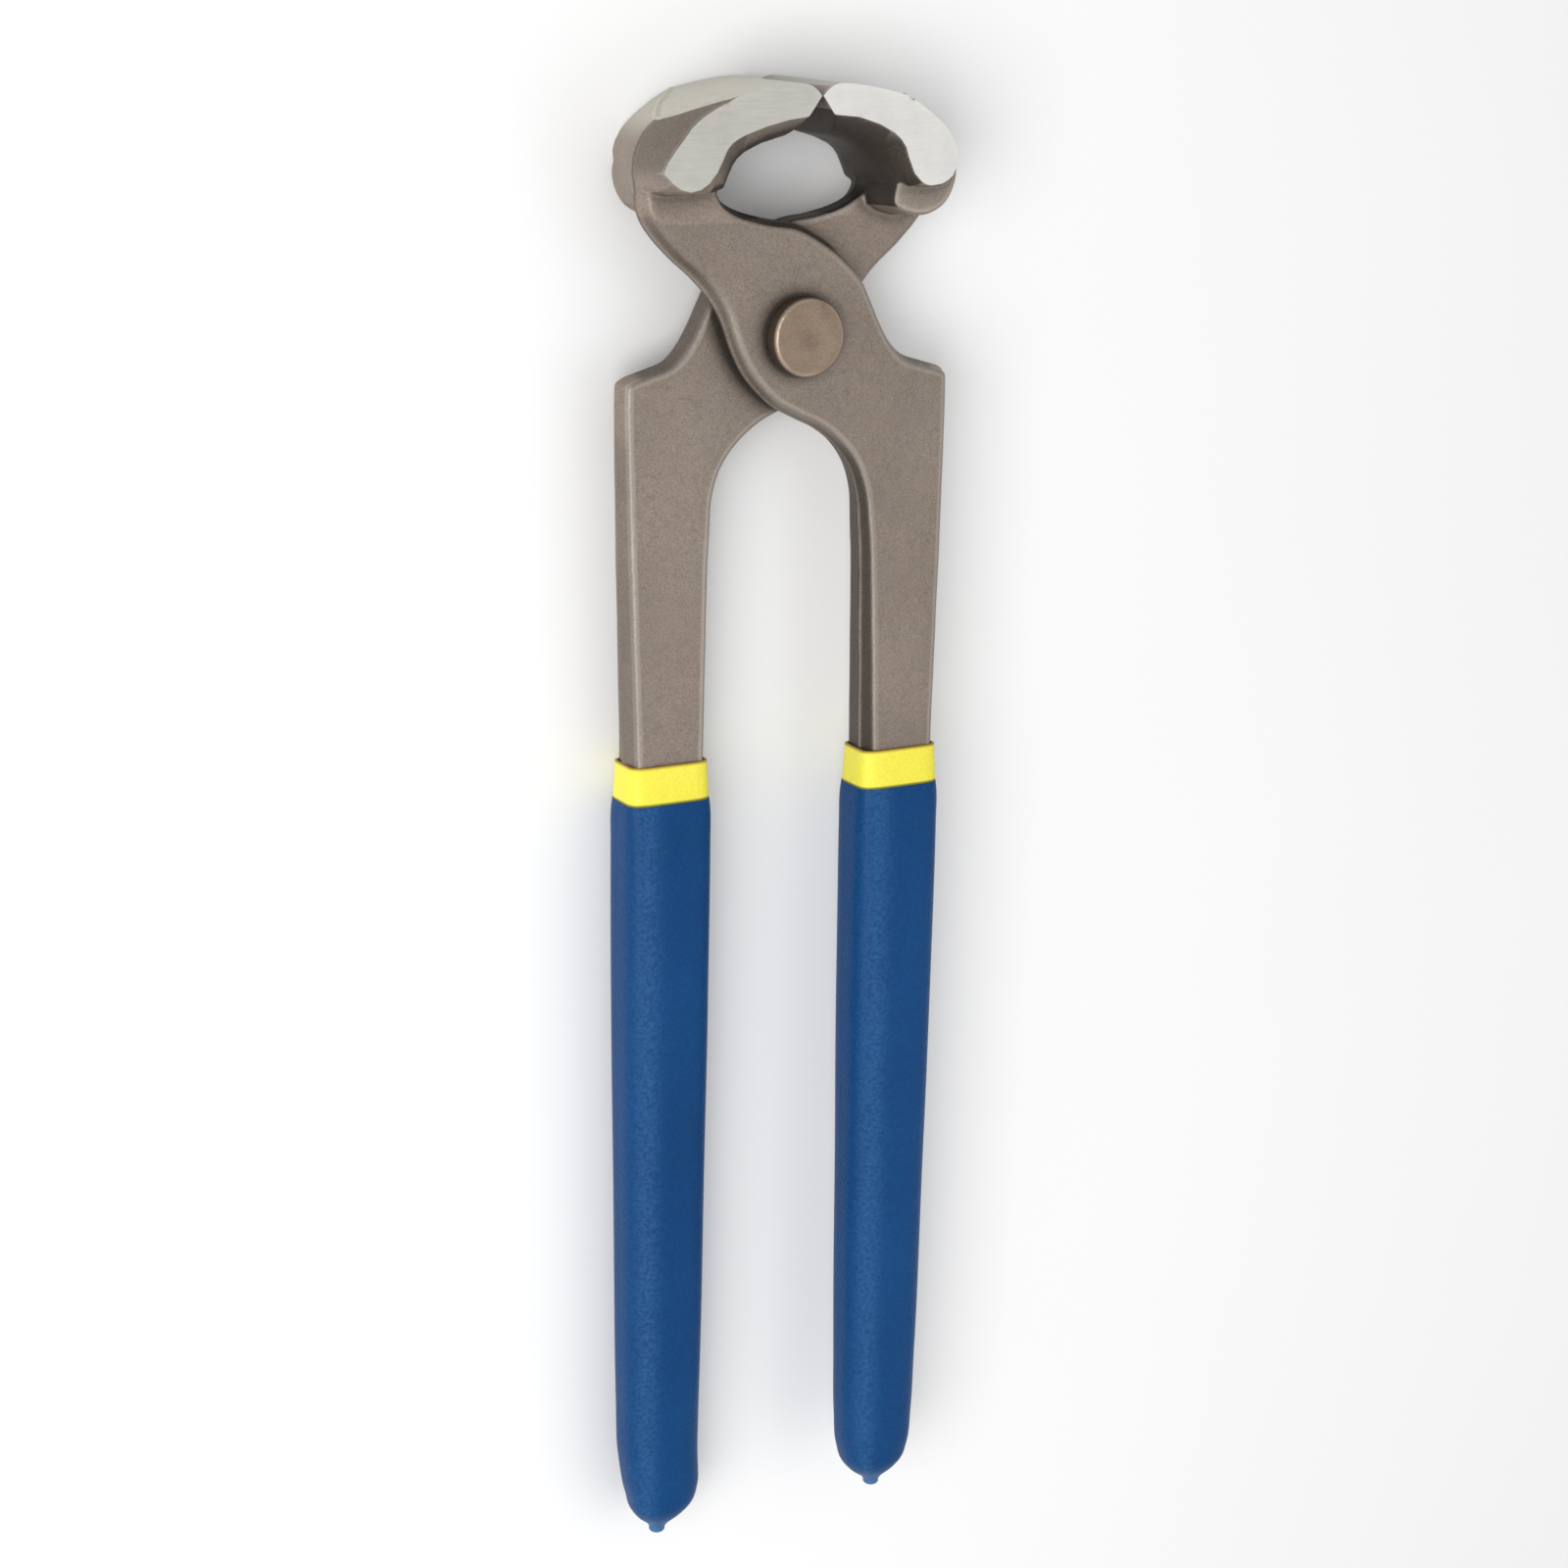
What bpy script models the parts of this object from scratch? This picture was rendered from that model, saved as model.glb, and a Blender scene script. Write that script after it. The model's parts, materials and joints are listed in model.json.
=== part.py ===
"""Hoof nipper: two crossed forged halves on one rivet, with double-dipped grips.

The tool lies on its back with its head towards +Y. Both halves are the same forging:
the rear one is the front one turned half a turn about Y, through the joint plane.
All design values are millimetres in tool coordinates, whose origin is on the pivot axis
in the joint plane, with X to the right, Y to the head and Z along the rivet.
"""

from math import cos, pi, sin

import bmesh
import bpy
from mathutils import Matrix, Vector

MM = 0.001

# Driving dimensions, mm
JAW_WIDTH = 28.2            # along the rivet
HEAD_TOP = 48.35            # crown of the jaws above the pivot
REAR_NUB_TIP = -257.0       # lowest point of the whole tool
FRONT_NUB_TIP = -253.4      # the front grip's coat hangs a little shorter
PLATE_INNER = 0.15          # half of the gap between the halves at the joint
PLATE_OUTER = 6.9           # outer face of the joint plate
GAP = 0.3                   # between touching pieces
BLANK_REACH = (-2.0, 10.0)  # the plate and bar are cut from a blank this deep
CUTTER_REACH = 60.0

# Rivet
SHANK_RADIUS = 4.0
HEAD_RADIUS = 8.0
HEAD_FACE = 10.9            # front face of the rivet above the joint plane
HEAD_ROUND = 0.7
PEENED_HEAD = ((7.5, -7.2), (7.3, -8.6), (5.0, -10.0))      # hammered end: radius, z
ROUND_STEPS = 32

# Jaw: a crown ground on a big wheel, and a hollow for the hoof wall
CROWN_RADIUS = 66.65
CROWN_STEPS = 6
TIP = (-0.15, 45.8)
TIP_CORNER_X = -2.2
PARTING = 3.5               # height of the parting line, where the jaw is thickest
SLICES_NEAR = (13.4, 12.2, 10.4, 7.8)
SLICES_FAR = (0.0, -5.0, -9.0, -12.2)
# Corners of the jaw's cross-section at the near end, at the parting line and at the far
# end, and the power with which each leaves its place at the parting line
INNER_POWER = 4.0
OUTER_POWER = 1.35
JAW_SECTION = (
    # lip, roof of the hollow and inner side of the tongue
    ((-2.9, 42.0), (-5.2, 38.1), (-2.8, 42.3), INNER_POWER),
    ((-7.1, 41.5), (-7.6, 37.4), (-8.0, 41.8), INNER_POWER),
    ((-11.8, 40.4), (-10.4, 36.6), (-12.8, 40.3), INNER_POWER),
    ((-16.6, 38.7), (-13.9, 35.0), (-15.8, 38.8), INNER_POWER),
    ((-18.8, 37.6), (-15.4, 33.8), (-17.4, 37.5), INNER_POWER),
    ((-20.0, 36.4), (-16.5, 32.3), (-18.5, 36.0), INNER_POWER),
    ((-21.2, 33.9), (-17.4, 30.3), (-19.4, 33.6), INNER_POWER),
    ((-22.2, 32.0), (-18.2, 28.4), (-20.6, 31.0), INNER_POWER),
    ((-23.7, 30.2), (-20.0, 28.0), (-22.2, 29.4), INNER_POWER),
    # bottom of the tongue
    ((-25.5, 29.0), (-22.8, 27.6), (-23.3, 28.8), 3.5),
    ((-27.7, 28.6), (-26.5, 27.6), (-24.5, 28.6), 3.0),
    ((-29.6, 29.1), (-30.0, 27.5), (-26.9, 28.9), 2.5),
    ((-31.2, 30.1), (-32.6, 27.9), (-28.2, 29.5), 2.0),
    ((-32.4, 31.2), (-34.0, 29.2), (-29.3, 30.4), 1.6),
    # back of the jaw up to the ground crown
    ((-33.4, 32.2), (-34.7, 31.5), (-30.1, 32.4), OUTER_POWER),
    ((-32.4, 34.2), (-34.5, 34.3), (-30.3, 34.4), OUTER_POWER),
    ((-30.8, 36.3), (-33.7, 36.6), (-29.8, 36.2), OUTER_POWER),
    ((-29.2, 38.2), (-32.5, 38.8), (-28.5, 38.4), OUTER_POWER),
    ((-27.4, 40.5), (-30.8, 40.6), (-27.0, 40.0), OUTER_POWER),
    ((-25.2, 42.2), (-28.8, 42.2), (-24.7, 41.9), OUTER_POWER),
    ((-22.4, 43.8), (-26.2, 43.4), (-22.0, 43.8), OUTER_POWER),
    ((-17.9, 45.9), (-21.5, 44.8), (-18.0, 45.9), OUTER_POWER),
)

# Coated part of the handles
COAT_TOP = -84.9
BLUE_TOP = -92.8
BAR_END = -234.5
BAR_SPACE = (0.55, 0.8)     # between the bar and its coat, in width and in thickness
COAT_GAP = 0.15
BLUE_WALL = 0.65

STEEL = ((0.33, 0.29, 0.26, 1.0), 1.0, 0.45)
RIVET_STEEL = ((0.26, 0.20, 0.15, 1.0), 1.0, 0.4)
YELLOW_PVC = ((0.93, 0.86, 0.09, 1.0), 0.0, 0.45)
BLUE_PVC = ((0.013, 0.066, 0.21, 1.0), 0.0, 0.5)

# Outline of a half seen from the front: x, y, and C for a sharp corner.
HALF_OUTLINE = (
    # back of the jaw down the neck to the underside of the joint
    (-34.6, 32.0), (-34.3, 27.5), (-33.2, 23.2), (-31.0, 19.9), (-27.1, 15.9),
    (-22.6, 12.1), (-18.9, 8.3), (-15.8, 3.7), (-13.2, -2.7), (-10.1, -8.1),
    (-5.1, -13.1), (0.0, -15.9), (4.6, -18.1), (9.2, -21.6), (12.9, -26.2),
    (14.9, -32.0), (15.4, -38.0), (15.7, -46.0), (16.4, -84.0), (16.8, -100.0),
    (19.3, BAR_END, "C"),
    # end of the bar and back up the outside to the shoulder
    (29.3, BAR_END, "C"), (31.6, -100.0), (31.9, -85.0), (33.0, -50.0), (33.7, -22.0),
    (33.9, -9.6), (32.9, -8.4), (28.7, -7.1), (24.2, -5.6), (21.2, -2.9),
    (18.6, 1.1), (16.2, 6.0), (13.9, 10.2), (9.6, 14.5), (5.2, 17.7),
    (-0.8, 20.6), (-7.0, 21.6), (-12.6, 23.1), (-16.3, 25.1), (-17.9, 27.6),
    (-17.9, 30.5), (-19.5, 35.5, "C"), (-30.0, 37.0, "C"),
)

# Side profile of plate and bar: y, z
HALF_PROFILE = (
    (60.0, PLATE_INNER), (-26.0, PLATE_INNER), (-84.0, -0.4), (-100.0, -0.4),
    (-240.0, 0.9), (-240.0, 7.3), (-100.0, 8.6), (-84.0, 8.6),
    (-12.0, PLATE_OUTER), (60.0, PLATE_OUTER),
)

# Gusset that carries the long overhang of the jaw behind the plate
GUSSET_OUTLINE = (
    (-30.9, 35.4, "C"), (-32.6, 31.8), (-32.3, 28.2), (-30.2, 24.6), (-26.4, 22.6),
    (-22.4, 22.7), (-18.6, 24.6), (-18.9, 28.5), (-20.6, 33.0, "C"),
)
GUSSET_REACH = -10.2
GUSSET_TOP = 3.0

# Bar inside the coats: y, half width, half thickness
BAR_STATIONS = (
    (COAT_TOP, 7.75, 4.5), (-100.0, 7.4, 4.5), (-135.0, 6.8, 4.2), (-178.0, 6.05, 3.8),
    (-222.0, 5.25, 3.4), (BAR_END - 1.5, 5.0, 3.3),
)
# Stations down the blue coat: y, half width, half thickness, squareness
BLUE_STATIONS = (
    (BLUE_TOP, 9.4, 6.4, 8.0),
    (BLUE_TOP - 2.2, 9.55, 6.6, 8.0),
    (-135.0, 9.5, 6.8, 3.7),
    (-178.0, 9.15, 6.7, 3.2),
    (-222.0, 8.7, 6.4, 2.9),
    (-236.0, 8.4, 6.1, 2.7),
    (-243.5, 7.9, 5.7, 2.6),
    (-248.5, 6.0, 4.5, 2.3),
    (-251.0, 3.6, 3.0, 2.0),
    (-252.8, 1.8, 1.8, 2.0),
    (-253.8, 1.0, 1.0, 2.0),
)
BLUE_HOLLOW = slice(1, 7)   # the stations where the blue coat is hollow
YELLOW_HIDDEN = slice(1, 6)         # the stations the yellow coat follows inside it
# Yellow band above the blue coat, and the ledge where it steps in under the blue
BAND_STATIONS = (
    (COAT_TOP, 8.6, 5.6, 8.0),
    (BLUE_TOP + GAP, 9.1, 6.0, 8.0),
    (BLUE_TOP + GAP, 8.55, 5.6, 8.0),
)
YELLOW_END = (-4.5, -1.3, -1.0)     # last ring of the yellow coat from the one above it
BAR_SQUARENESS = 9.0
COAT_CENTRE_X = 24.2
COAT_CENTRE_Z = 4.1
RING_POINTS = 32


def clear_scene():
    for old in list(bpy.data.objects):
        bpy.data.objects.remove(old, do_unlink=True)


def material(name, finish):
    colour, metallic, roughness = finish
    made = bpy.data.materials.new(name)
    made.use_nodes = True
    shader = made.node_tree.nodes["Principled BSDF"]
    shader.inputs["Base Color"].default_value = colour
    shader.inputs["Metallic"].default_value = metallic
    shader.inputs["Roughness"].default_value = roughness
    return made


def add_object(name, mesh, collection):
    made = bpy.data.objects.new(name, mesh)
    collection.objects.link(made)
    return made


def as_mesh_object(source, name, collection):
    """Replace a curve object by the closed mesh it evaluates to."""
    evaluated = source.evaluated_get(bpy.context.evaluated_depsgraph_get())
    mesh = bpy.data.meshes.new_from_object(evaluated)
    work = bmesh.new()
    work.from_mesh(mesh)
    bmesh.ops.remove_doubles(work, verts=work.verts, dist=1e-7)
    bmesh.ops.recalc_face_normals(work, faces=work.faces)
    work.to_mesh(mesh)
    work.free()
    place = source.matrix_world.copy()
    bpy.data.objects.remove(source, do_unlink=True)
    made = add_object(name, mesh, collection)
    made.matrix_world = place
    return made


def prism(name, outline, low, high, collection, smooth=3):
    """Flat outline in XY extruded from low to high; a point marked C is a corner."""
    curve = bpy.data.curves.new(name, "CURVE")
    curve.dimensions = "2D"
    curve.fill_mode = "BOTH"
    curve.extrude = (high - low) / 2 * MM
    curve.resolution_u = smooth
    spline = curve.splines.new("BEZIER")
    spline.bezier_points.add(len(outline) - 1)
    for point, place in zip(spline.bezier_points, outline):
        point.co = (place[0] * MM, place[1] * MM, 0.0)
        handle = "VECTOR" if len(place) == 3 else "AUTO"
        point.handle_left_type = handle
        point.handle_right_type = handle
    spline.use_cyclic_u = True
    source = add_object(name, curve, collection)
    source.location.z = (low + high) / 2 * MM
    bpy.context.view_layer.update()
    return as_mesh_object(source, name, collection)


def loft(name, rings, collection):
    """Closed solid through rings of points, in mm, with flat ends."""
    work = bmesh.new()
    rows = []
    for ring in rings:
        rows.append([work.verts.new(Vector(point) * MM) for point in ring])
    for upper, lower in zip(rows, rows[1:]):
        for i in range(len(upper)):
            j = (i + 1) % len(upper)
            work.faces.new((upper[i], upper[j], lower[j], lower[i]))
    work.faces.new(rows[0])
    work.faces.new(rows[-1])
    bmesh.ops.recalc_face_normals(work, faces=work.faces)
    bmesh.ops.triangulate(work, faces=work.faces)
    mesh = bpy.data.meshes.new(name)
    work.to_mesh(mesh)
    work.free()
    return add_object(name, mesh, collection)


def boolean(target, cutter, operation):
    step = target.modifiers.new(operation.lower() + "_" + cutter.name, "BOOLEAN")
    step.operation = operation
    step.object = cutter


def hide_cutters(cutters):
    for cutter in cutters.objects:
        cutter.hide_render = True
        cutter.display_type = "WIRE"


def crown_height(x):
    return (CROWN_RADIUS ** 2 - x ** 2) ** 0.5 - (CROWN_RADIUS - HEAD_TOP)


def jaw_section(z):
    """Crescent of the jaw at one height, clockwise from the lip."""
    near = z > PARTING
    reach = JAW_WIDTH / 2 - PARTING if near else JAW_WIDTH / 2 + PARTING
    share = abs(z - PARTING) / reach
    points = []
    for near_place, ridge, far_place, power in JAW_SECTION:
        end = near_place if near else far_place
        x = ridge[0] + share ** power * (end[0] - ridge[0])
        y = ridge[1] + share ** power * (end[1] - ridge[1])
        points.append((x, min(y, crown_height(x)), z))
    start = points[-1][0]
    for step in range(1, CROWN_STEPS + 1):
        x = start + (TIP_CORNER_X - start) * step / CROWN_STEPS
        points.append((x, crown_height(x), z))
    points.append((*TIP, z))
    return points


def half_mesh_object(name, collection, cutters):
    """One forging: joint plate, bar and jaw, with the hole for the rivet."""
    half = prism(name, HALF_OUTLINE, *BLANK_REACH, collection)
    side_view = [(y, z, "C") for y, z in HALF_PROFILE]
    profile = prism(name + "_profile", side_view, -CUTTER_REACH, CUTTER_REACH, cutters)
    # turns the YZ profile upright: local X to world Y, local Y to world Z
    turn = Matrix(((0, 0, 1, 0), (1, 0, 0, 0), (0, 1, 0, 0), (0, 0, 0, 1)))
    profile.data.transform(turn @ profile.matrix_world)
    profile.matrix_world = Matrix.Identity(4)
    boolean(half, profile, "INTERSECT")
    gusset = prism(name + "_gusset", GUSSET_OUTLINE, GUSSET_REACH, GUSSET_TOP, cutters)
    boolean(half, gusset, "UNION")
    heights = (JAW_WIDTH / 2, *SLICES_NEAR, PARTING, *SLICES_FAR, -JAW_WIDTH / 2)
    jaw = loft(name + "_jaw", [jaw_section(z) for z in heights], cutters)
    boolean(half, jaw, "UNION")
    bpy.ops.mesh.primitive_cylinder_add(
        vertices=ROUND_STEPS, radius=(SHANK_RADIUS + GAP) * MM, depth=CUTTER_REACH * MM)
    hole = bpy.context.object
    hole.name = name + "_rivet_hole"
    for group in list(hole.users_collection):
        group.objects.unlink(hole)
    cutters.objects.link(hole)
    boolean(half, hole, "DIFFERENCE")
    return half


def rivet_object(name, collection):
    """Round head in front, shank, and the hammered head behind."""
    under_head = PLATE_OUTER + GAP
    profile = (
        (0.0, HEAD_FACE), (HEAD_RADIUS - HEAD_ROUND, HEAD_FACE),
        (HEAD_RADIUS, HEAD_FACE - HEAD_ROUND), (HEAD_RADIUS, under_head),
        (SHANK_RADIUS, under_head), (SHANK_RADIUS, -under_head),
        *PEENED_HEAD, (0.0, -HEAD_FACE),
    )
    mesh = bpy.data.meshes.new(name)
    places = [(x * MM, 0.0, z * MM) for x, z in profile]
    mesh.from_pydata(places, [(i, i + 1) for i in range(len(places) - 1)], [])
    made = add_object(name, mesh, collection)
    screw = made.modifiers.new("turned", "SCREW")
    screw.axis = "Z"
    screw.steps = ROUND_STEPS
    screw.render_steps = ROUND_STEPS
    screw.use_merge_vertices = True
    screw.merge_threshold = 0.0001
    screw.use_smooth_shade = False
    return made


def ring(y, half_width, half_thickness, squareness):
    """Superellipse round the handle at height y."""
    points = []
    for i in range(RING_POINTS):
        angle = 2 * pi * (i + 0.5) / RING_POINTS
        c, s = cos(angle), sin(angle)
        size = (abs(c) ** squareness + abs(s) ** squareness) ** (-1 / squareness)
        points.append((
            COAT_CENTRE_X + half_width * size * c, y,
            COAT_CENTRE_Z + half_thickness * size * s))
    return points


def stretched(stations, tip):
    """Stations moved so that the last one lies at tip, keeping the first in place."""
    first = stations[0][0]
    last = stations[-1][0]
    factor = (tip - first) / (last - first)
    return [(first + (s[0] - first) * factor, *s[1:]) for s in stations]


def inset(station, depth):
    y, half_width, half_thickness, squareness = station
    return ring(y, half_width - depth, half_thickness - depth, squareness)


def blue_coat(name, tip, collection):
    """Outer dip: a sleeve closed at the bottom, ending in the drip nub."""
    stations = stretched(BLUE_STATIONS, tip)
    outer = [ring(*station) for station in stations]
    inner = [inset(station, BLUE_WALL) for station in stations[BLUE_HOLLOW]]
    top = inset(stations[0], BLUE_WALL)
    return loft(name, list(reversed(inner)) + [top] + outer, collection)


def yellow_coat(name, tip, collection):
    """Inner dip: shows as the band above the blue and runs on inside it."""
    hidden = stretched(BLUE_STATIONS, tip)[YELLOW_HIDDEN]
    outer = [ring(*station) for station in BAND_STATIONS]
    outer += [inset(station, BLUE_WALL + COAT_GAP) for station in hidden]
    bottom_y, bottom_w, bottom_t, bottom_n = hidden[-1]
    drop, width_change, thickness_change = YELLOW_END
    last = (bottom_y + drop, bottom_w + width_change, bottom_t + thickness_change, bottom_n)
    outer.append(inset(last, BLUE_WALL + COAT_GAP))
    inner = [
        ring(y, half_width + BAR_SPACE[0], half_thickness + BAR_SPACE[1], BAR_SQUARENESS)
        for y, half_width, half_thickness in BAR_STATIONS]
    return loft(name, list(reversed(inner)) + outer, collection)


def add_empty(name, location, collection):
    made = bpy.data.objects.new(name, None)
    made.location = location
    collection.objects.link(made)
    return made


def main():
    clear_scene()
    parts = bpy.data.collections.new("hoof_nipper")
    cutters = bpy.data.collections.new("cutters")
    bpy.context.scene.collection.children.link(parts)
    bpy.context.scene.collection.children.link(cutters)

    pivot_place = Vector((0.0, -(HEAD_TOP + REAR_NUB_TIP) / 2, JAW_WIDTH / 2)) * MM
    joint = add_empty("pivot_axis", pivot_place, parts)
    turned = add_empty("rear_side", pivot_place, parts)
    turned.rotation_euler = (0.0, pi, 0.0)

    steel = material("forged_steel", STEEL)
    rivet_steel = material("rivet_steel", RIVET_STEEL)
    yellow = material("yellow_pvc", YELLOW_PVC)
    blue = material("blue_pvc", BLUE_PVC)

    for side, tip, holder in (
        ("front", FRONT_NUB_TIP, joint), ("rear", REAR_NUB_TIP, turned),
    ):
        half = half_mesh_object(side + "_half", parts, cutters)
        undercoat = yellow_coat(side + "_grip_undercoat", tip, parts)
        grip = blue_coat(side + "_grip", tip, parts)
        for piece, finish in ((half, steel), (undercoat, yellow), (grip, blue)):
            piece.data.materials.clear()
            piece.data.materials.append(finish)
            piece.parent = holder
        for cutter in cutters.objects:
            if cutter.name.startswith(half.name):
                cutter.parent = holder

    rivet = rivet_object("pivot_rivet", parts)
    rivet.data.materials.append(rivet_steel)
    rivet.parent = joint
    hide_cutters(cutters)


main()
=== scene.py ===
"""Hoof nipper: the finished surfaces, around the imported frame."""

import json
from math import cos, pi, radians, sin, sqrt

import bpy
import numpy as np
from mathutils import Matrix, Vector


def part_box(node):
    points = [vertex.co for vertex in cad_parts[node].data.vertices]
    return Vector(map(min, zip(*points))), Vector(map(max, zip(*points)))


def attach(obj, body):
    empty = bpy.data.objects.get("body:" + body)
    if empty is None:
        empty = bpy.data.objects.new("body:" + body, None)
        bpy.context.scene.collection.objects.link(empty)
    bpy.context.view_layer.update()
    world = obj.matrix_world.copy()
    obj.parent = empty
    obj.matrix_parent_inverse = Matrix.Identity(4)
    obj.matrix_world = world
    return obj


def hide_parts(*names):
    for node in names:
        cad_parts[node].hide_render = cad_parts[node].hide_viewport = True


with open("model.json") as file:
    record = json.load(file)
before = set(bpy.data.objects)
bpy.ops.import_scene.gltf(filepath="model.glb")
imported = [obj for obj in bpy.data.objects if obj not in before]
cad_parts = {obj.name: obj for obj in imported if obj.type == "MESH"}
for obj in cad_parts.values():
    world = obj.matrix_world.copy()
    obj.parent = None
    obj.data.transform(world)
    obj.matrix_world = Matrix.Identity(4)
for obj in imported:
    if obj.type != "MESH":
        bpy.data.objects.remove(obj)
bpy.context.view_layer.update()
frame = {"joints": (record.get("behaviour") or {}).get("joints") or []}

MM = 0.001
PIVOT = Vector(frame["joints"][0]["pos_m"])

# Sizes below are millimetres in tool coordinates: origin on the pivot axis in the joint
# plane, X right, Y to the head, Z along the rivet.
HALF_LOW, HALF_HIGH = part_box("front_half")
END_INSET = 0.02            # keeps the ground end faces inside the CAD's box
JAW_END = (HALF_HIGH.z - PIVOT.z) / MM - END_INSET
HEAD_TOP = (HALF_HIGH.y - PIVOT.y) / MM
BAR_END = (HALF_LOW.y - PIVOT.y) / MM
RIVET_FACE = (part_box("pivot_rivet")[1].z - PIVOT.z) / MM
RIVET_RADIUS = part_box("pivot_rivet")[1].x / MM
COAT_TOP = (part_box("front_grip_undercoat")[1].y - PIVOT.y) / MM
BLUE_TOP = (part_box("front_grip")[1].y - PIVOT.y) / MM
NUB_TIPS = {side: (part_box(side + "_grip")[0].y - PIVOT.y) / MM for side in ("front", "rear")}

PLATE_INNER = 0.15
PLATE_OUTER = 6.9
SHANK_RADIUS = 4.0

CROWN_RADIUS = 66.65
TIP = (-0.15, 45.8)
TIP_CORNER = (-2.2, 48.3)
LIP = (-2.8, 42.1)
PARTING = 3.5               # height of the forging's parting line

# Outline of a half seen from the front; C marks a sharp corner.
HALF_OUTLINE = (
    (-34.6, 32.0), (-34.3, 27.5), (-33.2, 23.2), (-31.0, 19.9), (-27.1, 15.9),
    (-22.6, 12.1), (-18.9, 8.3), (-15.8, 3.7), (-13.2, -2.7), (-10.1, -8.1),
    (-5.1, -13.1), (0.0, -15.9), (4.6, -18.1), (9.2, -21.6), (12.9, -26.2),
    (15.2, -32.0), (16.0, -38.0), (16.5, -46.0), (17.2, -84.0), (17.6, -100.0),
    (19.3, BAR_END, "C"),
    (29.3, BAR_END, "C"), (31.9, -100.0), (32.1, -85.0), (33.1, -50.0), (33.8, -22.0),
    (33.9, -9.6), (32.9, -8.4), (28.7, -7.1), (24.2, -5.6), (21.2, -2.9),
    (18.6, 1.1), (16.2, 6.0), (13.9, 10.2), (9.6, 14.5), (5.2, 17.7),
    (-0.8, 20.6), (-7.0, 21.6), (-12.6, 23.1), (-16.3, 25.1), (-17.9, 27.6),
    (-17.9, 30.5), (-19.5, 35.5, "C"), (-30.0, 37.0, "C"),
)
GUSSET_OUTLINE = (
    (-30.9, 35.4, "C"), (-32.6, 31.8), (-32.3, 28.2), (-30.2, 24.6), (-26.4, 22.6), (-22.4, 22.7),
    (-18.6, 24.6), (-18.9, 28.5), (-20.6, 33.0, "C"),
)
GUSSET_REACH = -10.2
GUSSET_TOP = 3.0
# Faces of plate and bar: y, inner z, outer z
FACE_STATIONS = np.array((
    (-240.0, 0.9, 7.3), (-100.0, -0.4, 8.6), (-84.0, -0.4, 8.6), (-26.0, PLATE_INNER, 7.3),
    (-12.0, PLATE_INNER, PLATE_OUTER), (60.0, PLATE_INNER, PLATE_OUTER),
))
# Cross-section of a jaw before its crown is ground. Each corner is given at the near end, at
# the parting line and at the far end, and then how quickly it leaves the parting line's place.
INNER_POWER = 4.0
OUTER_POWER = 1.35
JAW_SECTION = (
    ((6.0, 42.3), (6.0, 38.7), (6.0, 42.4), INNER_POWER),
    ((-2.9, 42.0), (-2.5, 38.5), (-2.8, 42.3), INNER_POWER),
    ((-7.1, 41.5), (-6.4, 37.7), (-8.0, 41.8), INNER_POWER),
    ((-11.8, 40.4), (-10.4, 36.6), (-12.8, 40.3), INNER_POWER),
    ((-16.6, 38.7), (-13.9, 35.0), (-15.8, 38.8), INNER_POWER),
    ((-18.8, 37.6), (-15.4, 33.8), (-17.4, 37.5), INNER_POWER),
    ((-20.0, 36.4), (-16.5, 32.3), (-18.5, 36.0), INNER_POWER),
    ((-21.2, 33.9), (-17.4, 30.3), (-19.4, 33.6), INNER_POWER),
    ((-22.2, 32.0), (-18.2, 28.4), (-20.6, 31.0), INNER_POWER),
    ((-23.7, 30.2), (-20.0, 28.0), (-22.2, 29.4), INNER_POWER),
    ((-25.5, 29.0), (-22.8, 27.6), (-23.3, 28.8), 3.5),
    ((-27.7, 28.6), (-26.5, 27.6), (-24.5, 28.6), 3.0),
    ((-29.6, 29.1), (-30.0, 27.5), (-26.9, 28.9), 2.5),
    ((-31.2, 30.1), (-32.6, 27.9), (-28.2, 29.5), 2.0),
    ((-32.4, 31.2), (-34.0, 29.2), (-29.3, 30.4), 1.6),
    ((-33.4, 32.2), (-34.7, 31.5), (-30.1, 32.4), OUTER_POWER),
    ((-32.4, 34.2), (-34.5, 34.3), (-30.3, 34.4), OUTER_POWER),
    ((-30.8, 36.3), (-33.7, 36.6), (-29.8, 36.2), OUTER_POWER),
    ((-29.2, 38.2), (-32.5, 38.8), (-28.5, 38.4), OUTER_POWER),
    ((-27.4, 40.5), (-30.8, 40.6), (-27.0, 40.0), OUTER_POWER),
    ((-25.2, 42.2), (-28.8, 42.2), (-24.7, 41.9), OUTER_POWER),
    ((-22.4, 43.8), (-26.2, 44.0), (-22.0, 43.8), OUTER_POWER),
    ((-17.9, 45.9), (-21.5, 46.8), (-18.0, 46.0), OUTER_POWER),
    ((-9.0, 50.0), (-10.0, 52.0), (-9.0, 50.0), OUTER_POWER),
    ((6.0, 52.0), (6.0, 54.0), (6.0, 52.0), OUTER_POWER),
)
JAW_BOTTOM = 22.0           # below this height there is no jaw
NO_JAW = 3.0                # distance taken there

# Allowances of the forging
JAW_WIDEST = 34.7           # reach of the jaw and of the plate in X
PLATE_WIDEST = 34.6
DRAFT = 0.22                # lean of the sides away from the middle of their thickness
NECK_DRAFT = 0.28           # and this much more along the neck
SWELL = 0.30                # the sides stand out this far at the middle
INNER_LEAN = 0.13           # the inner sides of the arms lean to the front
INNER_SETBACK = 0.55
BAR_MIDDLE = 24.4
OPENING_LEAN = 0.13         # the plate's edge below the jaws leans back
JAW_SETBACK = 0.9           # the plate draws back where the jaw covers it
GUSSET_DRAFT = 0.05
GUSSET_SWELL = 0.4
HOLE_GAP = 0.1              # between the rivet's shank and its hole
FLASH = (0.30, 0.6, 0.45)   # trimmed flash: height, place above the middle, width
PARTING_GROOVE = (0.10, 0.5)        # behind the jaw: depth, width
JAW_WAVE = (0.06, 2.6)      # unevenness of a face: height, length
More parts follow.
